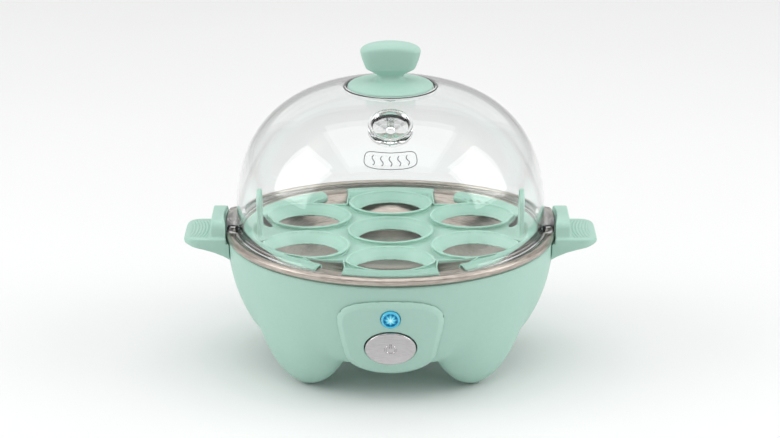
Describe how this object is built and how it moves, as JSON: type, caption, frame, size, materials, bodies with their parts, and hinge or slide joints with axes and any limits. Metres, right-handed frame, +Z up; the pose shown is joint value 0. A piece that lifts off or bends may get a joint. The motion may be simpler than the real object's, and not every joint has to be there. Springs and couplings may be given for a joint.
{
  "type": "egg cooker",
  "caption": "Round countertop egg cooker: mint bowl base on moulded legs, steel heating plate, lift-out egg tray, clear domed lid with steam vent and knob, push button and side handles.",
  "frame": {"origin": "on the table, under the centre of the bowl and the dome", "axes": "+Z up along the dome's axis, -Y out of the front where the button is, +X to the right handle seen from the front"},
  "size_m": [0.203, 0.1639, 0.1596],
  "materials": {
    "mint_plastic": "satin moulded plastic, mint green",
    "mint_panel": "satin moulded plastic, mint green, slightly glossier",
    "tray_plastic": "smooth food-grade plastic, mint green",
    "clear_plastic": "clear polished plastic",
    "plate_steel": "brushed stainless steel, turned lines",
    "button_metal": "satin plated",
    "blue_lens": "clear blue, lit from behind",
    "zinc_steel": "zinc plated",
    "aluminium_sheet": "plain pressed sheet",
    "black_plastic": "fine matt",
    "foot_rubber": "matt rubber",
    "silicone": "translucent white silicone",
    "ceramic_white": "unglazed electrical ceramic",
    "circuit_board_green": "solder mask",
    "lead_insulation": "heat-resistant sleeve"
  },
  "bodies": {
    "base": {"base_housing": "mint_plastic", "foot_pad_front_left": "foot_rubber", "foot_pad_front_right": "foot_rubber", "foot_pad_back_left": "foot_rubber", "foot_pad_back_right": "foot_rubber", "bottom_cover": "mint_plastic", "cover_screw_1": "zinc_steel", "cover_screw_2": "zinc_steel", "cover_screw_3": "zinc_steel", "cover_screw_4": "zinc_steel", "handle_left": "mint_plastic", "handle_right": "mint_plastic", "handle_screw_left": "zinc_steel", "handle_screw_right": "zinc_steel", "cord_gland": "black_plastic", "gland_nut": "black_plastic", "control_panel": "mint_panel", "indicator_lens": "blue_lens", "lens_retainer": "black_plastic", "indicator_lamp": "ceramic_white", "power_switch": "black_plastic", "switch_bracket": "zinc_steel", "heating_plate": "plate_steel", "clamp_stud": "zinc_steel", "heat_spreader": "aluminium_sheet", "heating_element": "zinc_steel", "element_clamp": "zinc_steel", "thermostat_bracket": "zinc_steel", "thermostat": "ceramic_white", "thermal_fuse": "ceramic_white", "heat_shield": "aluminium_sheet", "clamp_nut": "zinc_steel", "plate_seal": "silicone", "circuit_board": "circuit_board_green", "buzzer": "black_plastic", "terminal_block": "ceramic_white", "element_lead": "lead_insulation", "switch_lead": "lead_insulation"},
    "tray": {"egg_tray": "tray_plastic"},
    "lid": {"lid_dome": "clear_plastic", "lid_knob": "mint_plastic", "knob_washer": "silicone", "knob_screw": "zinc_steel"},
    "button": {"power_button": "button_metal"},
    "plunger": {"switch_plunger": "ceramic_white"}
  },
  "joints": [
    {"name": "tray_lift", "type": "slide", "parent": "base", "child": "tray", "axis": [0, 0, 1], "range_m": [0, 0.06]},
    {"name": "lid_lift", "type": "slide", "parent": "tray", "child": "lid", "axis": [0, 0, 1], "range_m": [0, 0.12]},
    {"name": "button_press", "type": "slide", "parent": "base", "child": "button", "axis": [0, 0.9166, 0.3999], "range_m": [0, 0.0018], "stiffness_N_per_m": 800, "springref_m": -0.0006},
    {"name": "plunger_press", "type": "slide", "parent": "base", "child": "plunger", "axis": [0, 0.9166, 0.3999], "range_m": [0, 0.0018], "stiffness_N_per_m": 100, "springref_m": -0.0006}
  ],
  "couplings": [
    {"joint": "plunger_press", "follows": "button_press", "ratio": 1}
  ]
}
